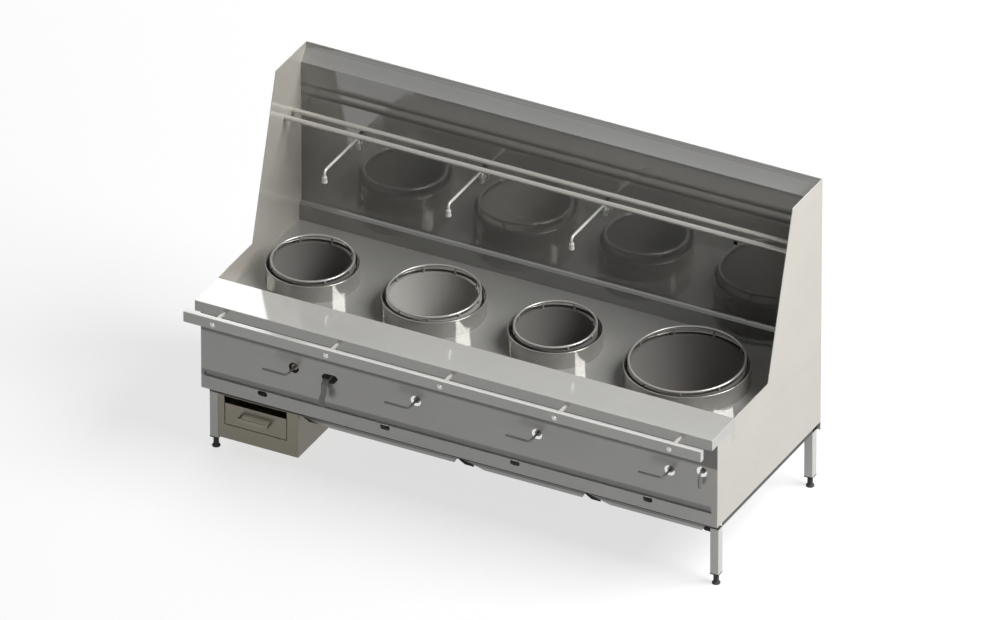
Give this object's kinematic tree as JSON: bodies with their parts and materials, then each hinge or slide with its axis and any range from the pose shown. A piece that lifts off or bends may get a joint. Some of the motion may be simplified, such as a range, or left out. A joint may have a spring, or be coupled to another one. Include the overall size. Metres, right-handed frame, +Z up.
{
  "type": "wok range",
  "caption": "Free-standing stainless wok range with ring-topped fire wells in a recessed deck, a tall backsplash with swing taps and rails, gas levers, a bumper bar and a drawer.",
  "frame": {"origin": "middle of the range's box on the floor it stands on", "axes": "+X along the front from the drawer end to the water-valve end, +Y from front to back, +Z up"},
  "size_m": [2.44, 1.117, 1.506],
  "materials": {
    "ledge_steel": "satin stainless with fine wiping marks",
    "deck_steel": "satin stainless, polished by use",
    "cheek_steel": "satin stainless sheet",
    "splash_steel": "polished stainless that mirrors the burners",
    "back_steel": "dull stainless sheet",
    "fascia_steel": "satin stainless sheet",
    "collar_steel": "polished rolled stainless",
    "chamber_steel": "heat-greyed steel",
    "burner_iron": "sooty casting",
    "ring_steel": "bright round bar with heat tint",
    "pipe_steel": "drawn steel pipe",
    "valve_brass": "turned brass",
    "lever_steel": "bent bar, satin",
    "tap_steel": "plated and polished",
    "rail_steel": "polished tube",
    "cap_black": "moulded cap",
    "bumper_steel": "satin box section",
    "bolt_steel": "bright domed heads",
    "cabinet_steel": "warm grey sheet",
    "handle_steel": "bent strip",
    "bay_steel": "satin stainless sheet",
    "frame_steel": "dark angle bar",
    "leg_steel": "square tube",
    "foot_black": "moulded foot"
  },
  "bodies": {
    "range_body": {"front_ledge": "ledge_steel", "burner_deck": "deck_steel", "left_cheek": "cheek_steel", "right_cheek": "cheek_steel", "backsplash": "splash_steel", "rear_panel": "back_steel", "left_side_panel": "cheek_steel", "right_side_panel": "cheek_steel", "front_fascia": "fascia_steel", "collar_1": "collar_steel", "collar_2": "collar_steel", "collar_3": "collar_steel", "collar_4": "collar_steel", "chamber_1": "chamber_steel", "chamber_2": "chamber_steel", "chamber_3": "chamber_steel", "chamber_4": "chamber_steel", "burner_heads": "burner_iron", "gas_manifold": "pipe_steel", "gas_supply_pipe": "pipe_steel", "gas_valves": "valve_brass", "burner_feed_pipes": "pipe_steel", "knee_lever_bracket": "lever_steel", "water_valve": "valve_brass", "water_pipe": "pipe_steel", "tap_body_1": "tap_steel", "tap_body_2": "tap_steel", "tap_body_3": "tap_steel", "tap_caps": "cap_black", "rear_utensil_rail": "rail_steel", "front_utensil_rail": "rail_steel", "bumper_bar": "bumper_steel", "bumper_standoffs": "bumper_steel", "bumper_bolts": "bolt_steel", "drawer_cabinet": "cabinet_steel", "drawer_runners": "cabinet_steel", "bay_panels": "bay_steel", "bay_dividers": "frame_steel", "frame_long_rails": "frame_steel", "frame_cross_rails": "frame_steel", "legs": "leg_steel", "feet": "foot_black"},
    "gas_lever_1": {"valve_lever_1": "lever_steel"},
    "gas_lever_2": {"valve_lever_2": "lever_steel"},
    "gas_lever_3": {"valve_lever_3": "lever_steel"},
    "gas_lever_4": {"valve_lever_4": "lever_steel"},
    "knee_lever": {"knee_lever": "lever_steel"},
    "water_handle": {"water_valve_handle": "lever_steel"},
    "swing_spout_1": {"tap_spout_1": "tap_steel", "tap_nozzle_1": "tap_steel"},
    "swing_spout_2": {"tap_spout_2": "tap_steel", "tap_nozzle_2": "tap_steel"},
    "swing_spout_3": {"tap_spout_3": "tap_steel", "tap_nozzle_3": "tap_steel"},
    "drawer": {"drawer": "cabinet_steel", "drawer_handle": "handle_steel"},
    "wok_ring_1": {"wok_ring_1": "ring_steel"},
    "wok_ring_2": {"wok_ring_2": "ring_steel"},
    "wok_ring_3": {"wok_ring_3": "ring_steel"},
    "wok_ring_4": {"wok_ring_4": "ring_steel"}
  },
  "joints": [
    {"name": "gas_lever_1_turn", "type": "hinge", "parent": "range_body", "child": "gas_lever_1", "pos_m": [-0.7769, -0.3975, 0.534], "axis": [0, -1, 0], "range_deg": [0, 90]},
    {"name": "gas_lever_2_turn", "type": "hinge", "parent": "range_body", "child": "gas_lever_2", "pos_m": [-0.19886, -0.3975, 0.534], "axis": [0, -1, 0], "range_deg": [0, 90]},
    {"name": "gas_lever_3_turn", "type": "hinge", "parent": "range_body", "child": "gas_lever_3", "pos_m": [0.37283, -0.3975, 0.534], "axis": [0, -1, 0], "range_deg": [0, 90]},
    {"name": "gas_lever_4_turn", "type": "hinge", "parent": "range_body", "child": "gas_lever_4", "pos_m": [0.99601, -0.3975, 0.534], "axis": [0, -1, 0], "range_deg": [0, 90]},
    {"name": "knee_lever_swing", "type": "hinge", "parent": "range_body", "child": "knee_lever", "pos_m": [-0.62012, -0.2725, 0.528], "axis": [0, 0, 1], "range_deg": [0, 16]},
    {"name": "water_handle_turn", "type": "hinge", "parent": "range_body", "child": "water_handle", "pos_m": [1.1468, -0.3975, 0.57], "axis": [0, 1, 0], "range_deg": [0, 90]},
    {"name": "spout_1_swing", "type": "hinge", "parent": "range_body", "child": "swing_spout_1", "pos_m": [-0.92988, 0.4785, 1.114], "axis": [0, 0, 1], "range_deg": [-60, 60]},
    {"name": "spout_2_swing", "type": "hinge", "parent": "range_body", "child": "swing_spout_2", "pos_m": [-0.34209, 0.4785, 1.114], "axis": [0, 0, 1], "range_deg": [-60, 60]},
    {"name": "spout_3_swing", "type": "hinge", "parent": "range_body", "child": "swing_spout_3", "pos_m": [0.2401, 0.4785, 1.114], "axis": [0, 0, 1], "range_deg": [-60, 60]},
    {"name": "drawer_slide", "type": "slide", "parent": "range_body", "child": "drawer", "axis": [0, -1, 0], "range_m": [0, 0.36]},
    {"name": "wok_ring_1_lift", "type": "slide", "parent": "range_body", "child": "wok_ring_1", "axis": [0, 0, 1], "range_m": [0, 0.12]},
    {"name": "wok_ring_2_lift", "type": "slide", "parent": "range_body", "child": "wok_ring_2", "axis": [0, 0, 1], "range_m": [0, 0.12]},
    {"name": "wok_ring_3_lift", "type": "slide", "parent": "range_body", "child": "wok_ring_3", "axis": [0, 0, 1], "range_m": [0, 0.12]},
    {"name": "wok_ring_4_lift", "type": "slide", "parent": "range_body", "child": "wok_ring_4", "axis": [0, 0, 1], "range_m": [0, 0.12]}
  ]
}
